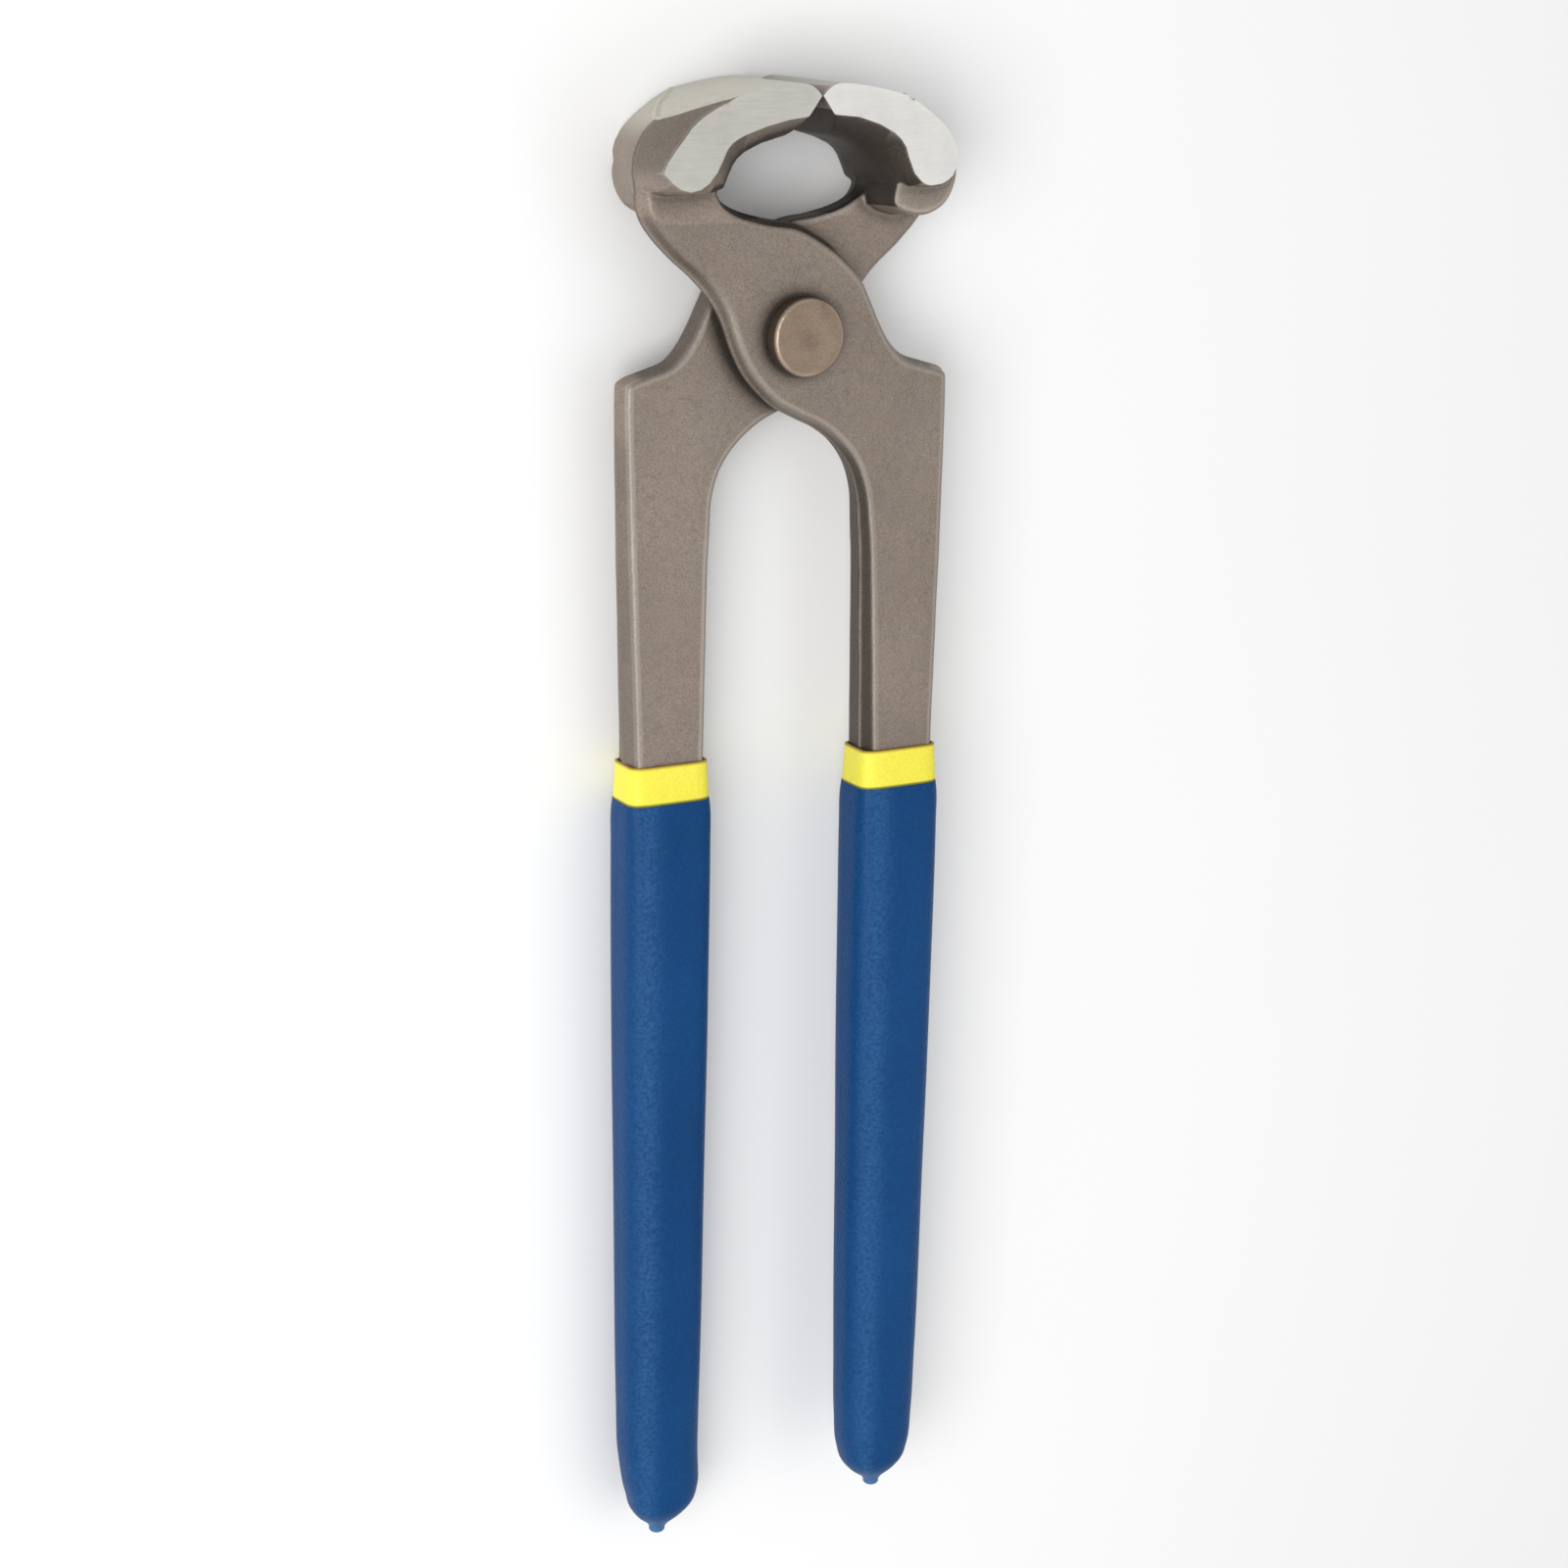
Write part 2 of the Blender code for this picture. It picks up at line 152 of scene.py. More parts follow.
PLATE_WAVE = (0.05, 3.1)
FACE_WAVE = (0.02, 5.0)
# Right edge of the neck: X at the pivot's height, fall to the left per millimetre up, and
# the X where it ends
NECK_EDGE = (7.6, 1.3, -27.0)

# Rounded edges and fillets
TIP_ROUND = 2.2
LIP_ROUND = 0.3
END_ROUND = 0.12
PLATE_ROUND = 0.95
GUSSET_ROUND = 0.9
GUSSET_FILLET = 1.2
JAW_FILLET = 0.9

# Sampling of a half: spacing round the head, on the arms and on the bar inside its coats
HEAD_GRID = 0.4
ARM_GRID = 1.0
BAR_GRID = 5.0
HEAD_FROM = -34.0
ARM_FROM = -102.0
GRID_SIDES = (-36.4, 35.6)
GRID_OVER_TOP = 1.2
GRID_OVER_END = 0.8
GRADIENT_STEP = 0.02
LEAST_SLOPE = 0.2
LONGEST_MOVE = 0.25
SNAP_REACH = 0.32           # points this near to an edge of the jaw are put on it
SNAP_LIMIT = 0.6
SHARP_EDGE = 50             # degrees

# Edge wear with a painted highlight, painted shade on sides, in crevices and the hollow, and a
# darker jaw cheek, on the forging
WEAR_AND_HIGHLIGHT_DEPTH = 1.5            # an edge is worn and given a painted highlight where the steel is thin this far inside
HEAD_WEAR_AND_HIGHLIGHT_LOSS = 0.45       # less wear and painted highlight shows round the jaws
CREVICE_LOOKS = ((0.9, 0.55), (2.2, 0.25), (5.0, 0.60))     # how far out, share
RIVET_HEADS = (9.0, 2.1)    # middle and half of the height of a rivet head
SIDE_DARK = 0.50
CREVICE_DARK = 0.84
RIM_DARK = 0.70
HOLLOW_DARK = 0.84
CHEEK_DARK = 0.40
CREASE_DARK = 0.62
INNER_ARM_DARK = 0.40
OUTER_ARM_DARK = 0.24
HOLLOW_CENTRE = 31.0        # height of the middle of the hollow between the jaws
HOLLOW_REACH = (21.0, 11.5)         # half its width and half its height

# Rivet
RIVET_STEPS = 96
RIVET_SCALE = 0.955         # width of the finished rivet beside the CAD's
SEAT_GAP = 0.02
DISH = ((0.0, 0.22), (0.9, 0.21), (1.8, 0.13), (2.8, 0.04))         # radius, depth
FACE_FALL = 0.004           # the front face falls outwards this much per millimetre
RIM_ROUND = 0.9
FOOT_ROUND = 0.42
REAR_ROUND = 0.5
REAR_INSET = 0.05
REAR_DOME = 2.4             # power of the hammered end's curve
SHANK_CHAMFER = 0.4
RIVET_SWELL = 0.13
HAMMER_MARKS = 0.05

# Stations down the blue coat: y, half width, half thickness, squareness
BLUE_STATIONS = (
    (BLUE_TOP, 9.15, 6.0, 5.0),
    (BLUE_TOP - 2.0, 9.35, 6.3, 4.8),
    (BLUE_TOP - 9.0, 9.45, 6.6, 4.3),
    (-135.0, 9.45, 6.8, 3.7),
    (-178.0, 9.1, 6.7, 3.2),
    (-222.0, 8.65, 6.4, 2.9),
    (-236.0, 8.4, 6.1, 2.7),
    (-243.5, 7.8, 5.7, 2.6),
    (-247.5, 6.5, 4.9, 2.4),
    (-249.8, 4.4, 3.5, 2.2),
    (-251.2, 2.5, 2.3, 2.0),
    (-252.2, 1.75, 1.7, 2.0),
    (-253.2, 1.5, 1.5, 2.0),
    (-253.8, 0.5, 0.5, 2.0),
)
# Yellow band above the blue coat, in the same form
BAND_STATIONS = (
    (COAT_TOP, 8.6, 5.15, 6.2), (COAT_TOP - 2.5, 8.75, 5.35, 5.8),
    (COAT_TOP - 5.5, 8.95, 5.6, 5.4), (BLUE_TOP - 0.2, 9.05, 5.8, 5.2),
    (BLUE_TOP - 2.5, 8.9, 5.8, 5.0),
)
UNDER_BLUE = 0.65           # the yellow coat lies this far inside the blue one's surface
YELLOW_END = (-3.0, -2.5, -2.0, 2.4)        # its last station: steps in y and sizes, shape
BLUE_WALL = 0.5
YELLOW_WALL = 0.3
COAT_LIP = 0.4              # rounding of a coat's upper edge
COAT_STEPS = 80
COAT_WAVE_LENGTH = 5.3
COAT_CENTRE = (24.15, 4.1)
HIGHLIGHT_STRIP = (0.6, 0.26)        # painted highlight, a paler strip along a grip: place and width in half widths
TIP_LEAN = {"front": 0.0, "rear": -1.0}      # how far the end of a grip leans from its axis

# ---------------------------------------------------------------- outlines and distances

def smooth_outline(points, steps=6):
    """Closed Catmull-Rom curve through the points; it runs straight beside a corner."""
    count = len(points)
    places = np.array([p[:2] for p in points], float)
    sharp = [len(p) == 3 for p in points]
    found = []
    for i in range(count):
        p0, p1, p2, p3 = (places[(i + k) % count] for k in (-1, 0, 1, 2))
        if sharp[i]:
            p0 = 2 * p1 - p2
        if sharp[(i + 1) % count]:
            p3 = 2 * p2 - p1
        span = np.linalg.norm(p2 - p1)
        m1 = (p2 - p0) * span / (np.linalg.norm(p1 - p0) + span)
        m2 = (p3 - p1) * span / (np.linalg.norm(p3 - p2) + span)
        for t in np.arange(steps) / steps:
            found.append(
                (2 * t ** 3 - 3 * t ** 2 + 1) * p1 + (t ** 3 - 2 * t ** 2 + t) * m1
                + (3 * t ** 2 - 2 * t ** 3) * p2 + (t ** 3 - t ** 2) * m2)
    return np.array(found)


def outline_distance(x, y, corners):
    """Signed distance to a closed outline, negative inside; a corner may vary by point."""
    shape = np.broadcast_shapes(np.shape(x), np.shape(y), np.shape(corners[0][0]))
    nearest = np.full(shape, 1e9)
    inside = np.zeros(shape, bool)
    for i, (ax, ay) in enumerate(corners):
        bx, by = corners[(i + 1) % len(corners)]
        ex, ey = bx - ax, by - ay
        along = np.clip(((x - ax) * ex + (y - ay) * ey) / (ex * ex + ey * ey), 0, 1)
        nearest = np.minimum(nearest, (x - ax - along * ex) ** 2 + (y - ay - along * ey) ** 2)
        level = np.where(np.abs(ey) < 1e-9, 1e-9, ey)
        inside ^= ((ay > y) != (by > y)) & (x < ax + ex * (y - ay) / level)
    return np.where(inside, -1.0, 1.0) * np.sqrt(nearest)


def smooth_max(a, b, radius):
    """Intersection of two solids with a rounded edge."""
    blend = np.maximum(radius - np.abs(a - b), 0) / radius
    return np.maximum(a, b) + radius * blend * blend / 4


def smooth_min(a, b, radius):
    """Union of two solids with a fillet."""
    return -smooth_max(-a, -b, radius)


def ramp_up(value, low, high):
    """0 below low, 1 above high, smooth between."""
    t = np.clip((value - low) / (high - low), 0, 1)
    return t * t * (3 - 2 * t)


def ramp_down(value, low, high):
    """1 below low, 0 above high, smooth between."""
    return ramp_up(-value, -high, -low)


def bell(value, width):
    return np.exp(-(value / width) ** 2)


def unevenness(x, y, z, size):
    """Slow waves from -1 to 1, for the small faults of a forged or dipped surface."""
    return (
        np.sin(x / size + 1.3 * np.sin(y / size * 0.7 + 0.4))
        * np.sin(y / size * 0.9 + 1.1 * np.sin(z / size * 1.1 + 2.0))
        * np.cos(z / size * 0.8 + 1.2 * np.sin(x / size * 0.6 + 1.0)))


def waves(x, y, z, wave):
    height, length = wave
    return height * unevenness(x, y, z, length)


HALF_CURVE = smooth_outline(HALF_OUTLINE)
GUSSET_CURVE = smooth_outline(GUSSET_OUTLINE)


def jaw_corners(z):
    """Corners of the jaw's cross-section at each height z."""
    lift = z - PARTING
    share = np.clip(np.abs(lift) / np.where(lift > 0, JAW_END - PARTING, JAW_END + PARTING), 0, 1)
    found = []
    for near, ridge, far, power in JAW_SECTION:
        weight = share ** power
        found.append([
            ridge[k] + weight * (np.where(lift > 0, near[k], far[k]) - ridge[k]) for k in (0, 1)])
    return found


def jaw_parts(x, y, z):
    """Distances to the ground crown with its tip bevel, the forged body and the end faces."""
    crown = np.hypot(x, y + CROWN_RADIUS - HEAD_TOP) - CROWN_RADIUS
    crown = smooth_max(crown, half_plane(x, y, TIP, TIP_CORNER), TIP_ROUND)
    body = outline_distance(x, y, jaw_corners(z))
    depth, width = PARTING_GROOVE
    groove = bell(z - PARTING, width) * np.clip((-24.0 - x) / 2, 0, 1)
    body = np.maximum(body + depth * groove, -JAW_WIDEST - x) + waves(x, y, z, JAW_WAVE)
    body = smooth_max(body, half_plane(x, y, LIP, TIP), LIP_ROUND)
    return crown, body, np.abs(z) - JAW_END


def half_plane(x, y, start, end):
    """Distance outside the line from start to end, whose material is on its left."""
    ex, ey = end[0] - start[0], end[1] - start[1]
    return ((x - start[0]) * ey - (y - start[1]) * ex) / sqrt(ex * ex + ey * ey)


def side_draft(x, y, z, middle):
    """How far the sides of plate and bar stand inside their outline at each height z."""
    start, fall, left = NECK_EDGE
    neck = ramp_up(y, 1.0, 12.0) * ramp_up(np.maximum(start - fall * y, left) - x, 0.0, 2.5)
    draft = (DRAFT + NECK_DRAFT * neck) * np.abs(z - middle) - SWELL
    inner = ramp_down(y, -42.0, -20.0) * (x < BAR_MIDDLE)
    draft = draft + inner * (INNER_LEAN * (z - middle) - INNER_SETBACK)
    opening = ramp_up(y, 13.0, 17.0) * ramp_up(x, -19.0, -15.0)
    draft = draft - OPENING_LEAN * opening * (PLATE_OUTER - z)
    covered = ramp_up(y, 25.5, 31.5) * ramp_down(x, -30.0, -26.0)
    height, place, width = FLASH
    flash = height * bell(z - middle - place, width) * ramp_down(y, 22.0, 28.0)
    return draft + JAW_SETBACK * covered - flash


def half_distance(x, y, z, plate=None, gusset=None):
    """Signed distance to one forged half; plate and gusset are known outline distances."""
    if plate is None:
        plate = outline_distance(x, y, HALF_CURVE)
        gusset = outline_distance(x, y, GUSSET_CURVE)
    low = np.interp(y, FACE_STATIONS[:, 0], FACE_STATIONS[:, 1])
    high = np.interp(y, FACE_STATIONS[:, 0], FACE_STATIONS[:, 2])
    wave = waves(x, y, z, PLATE_WAVE)
    sides = plate + side_draft(x, y, z, (low + high) / 2)
    sides = np.maximum(sides, np.abs(x) - PLATE_WIDEST) + wave
    faces = np.maximum(z - high, low - z) + waves(x, y, z, FACE_WAVE)
    blade = smooth_max(sides, faces, PLATE_ROUND)
    web = gusset + GUSSET_DRAFT * np.abs(z) - GUSSET_SWELL
    web = smooth_max(web, np.maximum(GUSSET_REACH - z, z - GUSSET_TOP), GUSSET_ROUND)
    blade = smooth_min(blade, web + wave, GUSSET_FILLET)
    shape = np.broadcast_shapes(np.shape(x), np.shape(y), np.shape(z))
    jaw = np.full(shape, NO_JAW)
    near = np.broadcast_to(y > JAW_BOTTOM, shape)
    px, py, pz = (np.broadcast_to(v, shape)[near] for v in (x, y, z))
    crown, body, ends = jaw_parts(px, py, pz)
    jaw[near] = smooth_max(np.maximum(crown, body), ends, END_ROUND)
    whole = smooth_min(blade, jaw, JAW_FILLET)
    return np.maximum(whole, SHANK_RADIUS + HOLE_GAP - np.hypot(x, y))


# ---------------------------------------------------------------- mesh from distances

def surface_nets(xs, ys, zs, values):
    """Quads on the zero surface of values, given on a rectilinear grid."""
    grid = (xs, ys, zs)
    inside = values < 0
    cells = tuple(n - 1 for n in values.shape)
    total = cells[0] * cells[1] * cells[2]
    strides = (cells[1] * cells[2], cells[2], 1)
    sums = np.zeros((total, 3))
    hits = np.zeros(total)
    quads = []
    for axis in range(3):
        first = [slice(None)] * 3
        second = [slice(None)] * 3
        first[axis] = slice(0, -1)
        second[axis] = slice(1, None)
        crossing = inside[tuple(first)] != inside[tuple(second)]
        index = np.argwhere(crossing)
        one = values[tuple(first)][crossing]
        two = values[tuple(second)][crossing]
        share = one / (one - two)
        place = np.stack([grid[k][index[:, k]] for k in range(3)], 1)
        step = grid[axis][index[:, axis] + 1] - grid[axis][index[:, axis]]
        place[:, axis] += share * step
        u, v = (axis + 1) % 3, (axis + 2) % 3
        corners = []
        for du, dv in ((0, 0), (-1, 0), (-1, -1), (0, -1)):
            cell = index.copy()
            cell[:, u] += du
            cell[:, v] += dv
            corners.append(cell @ np.array(strides))
        for corner in corners:
            hits += np.bincount(corner, minlength=total)
            for k in range(3):
                sums[:, k] += np.bincount(corner, weights=place[:, k], minlength=total)
        ring = np.stack(corners, 1)
        flip = one > 0
        ring[flip] = ring[flip][:, ::-1]
        quads.append(ring)
    used = np.flatnonzero(hits)
    number = np.zeros(total, np.int64)
    number[used] = np.arange(len(used))
    return sums[used] / hits[used, None], number[np.concatenate(quads)]


def gradient(points, distance):
    shifts = GRADIENT_STEP * np.eye(3)
    return np.stack([
        (distance(*(points + e).T) - distance(*(points - e).T)) / (2 * GRADIENT_STEP)
        for e in shifts], 1)


def settle(points, distance, rounds=3):
    """Moves points onto the zero surface of a distance function."""
    for _ in range(rounds):
        slope = gradient(points, distance)
        size = np.maximum((slope ** 2).sum(1), LEAST_SLOPE)
        step = -(distance(*points.T) / size)[:, None] * slope
        points = points + np.clip(step, -LONGEST_MOVE, LONGEST_MOVE)
    return points


def jaw_side(x, y, z):
    crown, body, _ = jaw_parts(x, y, z)
    return np.maximum(crown, body)


def jaw_end(x, y, z):
    return np.abs(z) - JAW_END


def jaw_crown(x, y, z):
    return jaw_parts(x, y, z)[0]


def jaw_body(x, y, z):
    return jaw_parts(x, y, z)[1]


def sharpen(points, one, two, rounds=5):
    """Snaps points beside the edge where two faces of the jaw meet onto that edge."""
    points = points.copy()
    high = np.flatnonzero(points[:, 1] > JAW_BOTTOM + 5)
    near = high[np.abs(one(*points[high].T)) < SNAP_REACH]
    near = near[np.abs(two(*points[near].T)) < SNAP_REACH]
    moved = points[near]
    for _ in range(rounds):
        for face in (one, two):
            slope = gradient(moved, face)
            size = np.maximum((slope ** 2).sum(1), LEAST_SLOPE)
            moved = moved - (face(*moved.T) / size)[:, None] * slope
    kept = np.linalg.norm(moved - points[near], axis=1) < SNAP_LIMIT
    points[near[kept]] = moved[kept]
    return points


def half_surface():
    """Vertices and quads of one forged half, in tool coordinates."""
    fine = HEAD_GRID
    xs = np.arange(*GRID_SIDES, fine)
    head = np.arange(HEAD_FROM, HEAD_TOP + GRID_OVER_TOP, fine)
    arm = np.arange(ARM_FROM, HEAD_FROM, ARM_GRID)
    bar = np.arange(BAR_END - BAR_GRID, ARM_FROM, BAR_GRID)
    ys = np.concatenate([bar, arm, head])
    zs = np.arange(-JAW_END - GRID_OVER_END, JAW_END + GRID_OVER_END, fine)
    x2, y2 = np.meshgrid(xs, ys, indexing="ij")
    plate = outline_distance(x2, y2, HALF_CURVE)
    gusset = outline_distance(x2, y2, GUSSET_CURVE)
    x3, y3, z3 = np.meshgrid(xs, ys, zs, indexing="ij")
    values = half_distance(x3, y3, z3, plate[:, :, None], gusset[:, :, None])
    points, quads = surface_nets(xs, ys, zs, values)
    points = settle(points, half_distance)
    points = sharpen(points, jaw_crown, jaw_body)
    return sharpen(points, jaw_end, jaw_side), quads


def crevices(points, normal):
    """How much each point is closed in by the two halves and the rivet's heads."""
    found = np.zeros(len(points))
    middle, half_height = RIVET_HEADS
    for reach, share in CREVICE_LOOKS:
        x, y, z = (points + reach * normal).T
        disc = np.maximum(np.hypot(x, y) - RIVET_RADIUS, np.abs(np.abs(z) - middle) - half_height)
        gap = np.minimum(half_distance(x, y, z), half_distance(-x, y, -z))
        found += share * np.clip(1 - np.minimum(gap, disc + 0.3) / reach, 0, 1.3)
    return found


def light_kept(points, normal, body):
    """Share of its colour that the forging keeps under painted shade on sides, hole rim, hollow,
    parting crease and arm sides, and painted shadow in crevices; the jaw cheek is darker too.
    """
    x, y, z = points.T
    facing = np.abs(normal[:, 2])
    # Painted shade on the sides of plate and bar; on the left-facing sides around the joint it is
    # lighter near the front face and deeper towards the back
    side = ramp_down(facing, 0.4, 0.8) * ramp_down(x, 29.5, 31.5) * ramp_down(y, 20.0, 26.0)
    under = (normal[:, 0] < 0) * ramp_up(y, -26.0, -20.0) * ramp_down(y, 8.0, 14.0)
    side *= 1 + under * (1.1 * ramp_down(z, 1.8, 4.8) - 0.35)

    # Painted shade in the hollow between the jaws and on the sides along the hole
    across = np.hypot(x / HOLLOW_REACH[0], (y - HOLLOW_CENTRE) / HOLLOW_REACH[1])
    inward = normal[:, 1] * (HOLLOW_CENTRE - y) + normal[:, 0] * -x > 0
    hollow = (across < 1.08) & (y > 22.5) & inward
    hollow = hollow * ramp_down(facing, 0.6, 0.93)
    rim = ramp_down(facing, 0.5, 0.85) * ramp_up(normal[:, 1], 0.1, 0.4)
    rim *= ramp_up(y, 14.5, 17.0) * ramp_down(y, 27.0, 31.0) * ramp_up(x, -20.0, -17.5)

    # A darker cheek on the jaw above the parting line, painted shade in the parting crease and on
    # the arms' sides, most on the inner sides
    cheek = ramp_up(z, PARTING, PARTING + 1.2) * ramp_up(y, 29, 34) * (body > -0.3) * (x < -16)
    crease = bell(z - PARTING, 0.45) * ramp_up(-x, 24, 27) * ramp_up(y, 18, 26)
    arm_side = ramp_down(facing, 0.4, 0.8) * ramp_down(y, -24.0, -16.0)
    arm_side *= np.where(normal[:, 0] < 0, INNER_ARM_DARK, OUTER_ARM_DARK)

    # Painted shadow in the crevices beside the other half and the rivet's heads
    kept = 1 - SIDE_DARK * np.clip(side, 0, 1.8)
    kept *= 1 - CREVICE_DARK * np.clip(crevices(points, normal), 0, 1) ** 1.05
    kept *= (1 - arm_side) * (1 - RIM_DARK * rim) * (1 - HOLLOW_DARK * hollow)
    return kept * (1 - CHEEK_DARK * cheek) * (1 - CREASE_DARK * crease * (body > -0.6))


def surface_values(points):
    """Numbers per point that the steel's material reads: ground faces, edge wear with a painted
    highlight, painted shade, a painted rim light and which end face is painted lighter.
    """
    x, y, z = points.T
    crown, body, ends = jaw_parts(x, y, z)
    bevel = half_plane(x, y, TIP, TIP_CORNER)
    on_end = np.clip(ends - np.maximum(body, crown), -1, 1)
    on_crown = np.where(y > 38, np.clip(crown - np.maximum(body, bevel + 0.35), -1, 1), -1.0)
    normal = gradient(points, half_distance)
    normal /= np.maximum(np.linalg.norm(normal, axis=1), LEAST_SLOPE)[:, None]
    # Edge wear with a painted highlight: where the steel is thin just inside, the edge is
    # lightened
    wear_and_highlight = 1 + half_distance(*(points - WEAR_AND_HIGHLIGHT_DEPTH * normal).T) / WEAR_AND_HIGHLIGHT_DEPTH
    wear_and_highlight = np.clip(wear_and_highlight, 0, 1) * (1 - HEAD_WEAR_AND_HIGHLIGHT_LOSS * ramp_up(y, 18.0, 25.0))
    # Painted rim light: a lighter strip on the jaw's outer side behind the parting line
    painted_rim_light = ramp_up(y, 36.5, 42.0) * ramp_down(z, PARTING - 0.8, PARTING) * (x < -15)
    return {
        "ground_end": on_end, "ground_crown": on_crown, "wear_and_highlight": wear_and_highlight,
        "shade": 1 - light_kept(points, normal, body), "painted_rim_light": painted_rim_light,
        "lit_far_end": np.where(z < 0, 1.0, 0.0)}


def new_object(name, points, faces, turned, attributes=None):
    """Mesh object from tool coordinates, turned half a turn about Y for the rear half."""
    places = np.array(points, float)
    if turned:
        places = places * np.array((-1.0, 1.0, -1.0))
    places = places * MM + np.array(PIVOT)
    mesh = bpy.data.meshes.new(name)
    mesh.from_pydata(places.tolist(), [], [list(map(int, f)) for f in faces])
    mesh.validate()
    for key, values in (attributes or {}).items():
        layer = mesh.attributes.new(key, "FLOAT", "POINT")
        layer.data.foreach_set("value", values.astype(np.float32))
    mesh.shade_smooth()
    mesh.set_sharp_from_angle(angle=radians(SHARP_EDGE))
    made = bpy.data.objects.new(name, mesh)
    bpy.context.scene.collection.objects.link(made)
    return made


# ---------------------------------------------------------------- rivet and coats

def turned_shape(profile, steps):
    """Points and faces of a profile (radius, z) turned about Z, poles at both ends."""
    angles = 2 * pi * np.arange(steps) / steps
    points = [(0.0, 0.0, profile[0][1])]
    for radius, z in profile[1:-1]:
        points += [(radius * cos(a), radius * sin(a), z) for a in angles]
    points.append((0.0, 0.0, profile[-1][1]))
    rows = len(profile) - 2
    faces = []
    for j in range(steps):
        k = (j + 1) % steps
        faces.append((0, 1 + j, 1 + k))
        faces.append((len(points) - 1, 1 + (rows - 1) * steps + k, 1 + (rows - 1) * steps + j))
        for i in range(rows - 1):
            upper, lower = 1 + i * steps, 1 + (i + 1) * steps
            faces.append((upper + j, lower + j, lower + k, upper + k))
    return np.array(points), faces


def arc(centre, radius, start, end, steps):
    """Points on an arc, angles in degrees."""
    return [
        (centre[0] + radius * cos(radians(a)), centre[1] + radius * sin(radians(a)))
        for a in np.linspace(start, end, steps)]


def rivet_profile():
    """Radius and Z from the dished front face down to the hammered end."""
    seat = PLATE_OUTER + SEAT_GAP
    rim = RIVET_RADIUS - RIM_ROUND
    face = RIVET_FACE
    profile = [(r, face - depth) for r, depth in DISH]
    profile += [(r, face - FACE_FALL * r) for r in np.linspace(3.8, rim - 0.2, 6)]
    profile += arc((rim, face - RIM_ROUND - SEAT_GAP), RIM_ROUND, 84, 0, 6)
    profile += [(RIVET_RADIUS - 0.03, z) for z in np.linspace(face - 1.4, seat + 0.5, 4)]
    profile += arc((RIVET_RADIUS - 0.5, seat + FOOT_ROUND), FOOT_ROUND, -10, -90, 4)
    profile += [
        (SHANK_RADIUS + SHANK_CHAMFER, seat), (SHANK_RADIUS, seat - SHANK_CHAMFER),
        (SHANK_RADIUS, -seat + SHANK_CHAMFER), (SHANK_RADIUS + SHANK_CHAMFER, -seat),
        (RIVET_RADIUS - 1.0, -seat)]
    profile += arc((RIVET_RADIUS - 1.4, -seat - REAR_ROUND), REAR_ROUND, 40, -50, 4)
    for r in np.linspace(RIVET_RADIUS - 1.6, 0.6, 9):
        dome = (face - seat - 1.0) * (r / RIVET_RADIUS) ** REAR_DOME
        profile.append((r, -face + REAR_INSET + dome))
    profile.append((0.0, -face + REAR_INSET))
    return profile


def rivet():
    """Rivet with a slightly uneven rim, and what its material reads: painted shade on the wall
    and in the dish, and hammer wear with a painted highlight on the rim.
    """
    seat = PLATE_OUTER + SEAT_GAP
    rim = RIVET_RADIUS - RIM_ROUND
    face = RIVET_FACE
    points, faces = turned_shape(rivet_profile(), RIVET_STEPS)
    x, y, z = points.T
    marks = unevenness(x, y, z, 1.9)
    radial = np.hypot(x, y)
    swell = np.where(radial > SHANK_RADIUS + 0.3, RIVET_SWELL * unevenness(x, y, 0 * z, 3.4), 0)
    points[:, 0] += swell * x / np.maximum(radial, 1)
    points[:, 1] += swell * y / np.maximum(radial, 1)
    points[:, 2] -= np.where(np.abs(z) > seat + 1, HAMMER_MARKS * np.abs(marks) * np.sign(z), 0)
    points[:, :2] *= RIVET_SCALE
    # Painted shade on the rivet's side wall and in its dish; wear and a painted highlight on its
    # rim
    wall = ramp_up(radial, RIVET_RADIUS - 0.5, RIVET_RADIUS - 0.1)
    wall *= ramp_down(np.abs(z), face - 1.0, face - 0.55)
    corner = ramp_up(radial, rim, rim + 0.35) * ramp_up(np.abs(z), face - 0.75, face - 0.45)
    dimple = 0.22 * np.exp(-(radial / 1.7) ** 2) * (z > 0)
    edge = corner * (0.65 + 0.35 * marks) * ramp_down(radial, RIVET_RADIUS - 0.3, RIVET_RADIUS)
    return new_object(
        "rivet_visual", points, faces, False, {"shade": 0.8 * wall + dimple, "wear_and_highlight": edge})


def superellipse(y, half_width, half_thickness, squareness):
    """Ring round the handle's axis at height y."""
    angles = 2 * pi * np.arange(COAT_STEPS) / COAT_STEPS
    c, s = np.cos(angles), np.sin(angles)
    size = (np.abs(c) ** squareness + np.abs(s) ** squareness) ** (-1 / squareness)
    return np.stack([
        COAT_CENTRE[0] + half_width * size * c, np.full(COAT_STEPS, y),
        COAT_CENTRE[1] + half_thickness * size * s], 1)


def resample(stations, heights):
    """Station sizes at each height, along a smooth curve through them."""
    table = np.array(stations, float)[::-1]
    y = table[:, 0]
    found = [heights]
    for k in range(1, table.shape[1]):
        v = table[:, k]
        slope = np.gradient(v, y)
        i = np.clip(np.searchsorted(y, heights) - 1, 0, len(y) - 2)
        span = y[i + 1] - y[i]
        t = np.clip((heights - y[i]) / span, 0, 1)
        found.append(
            (2 * t ** 3 - 3 * t ** 2 + 1) * v[i] + (t ** 3 - 2 * t ** 2 + t) * span * slope[i]
            + (3 * t ** 2 - 2 * t ** 3) * v[i + 1] + (t ** 3 - t ** 2) * span * slope[i + 1])
    return np.stack(found, 1)


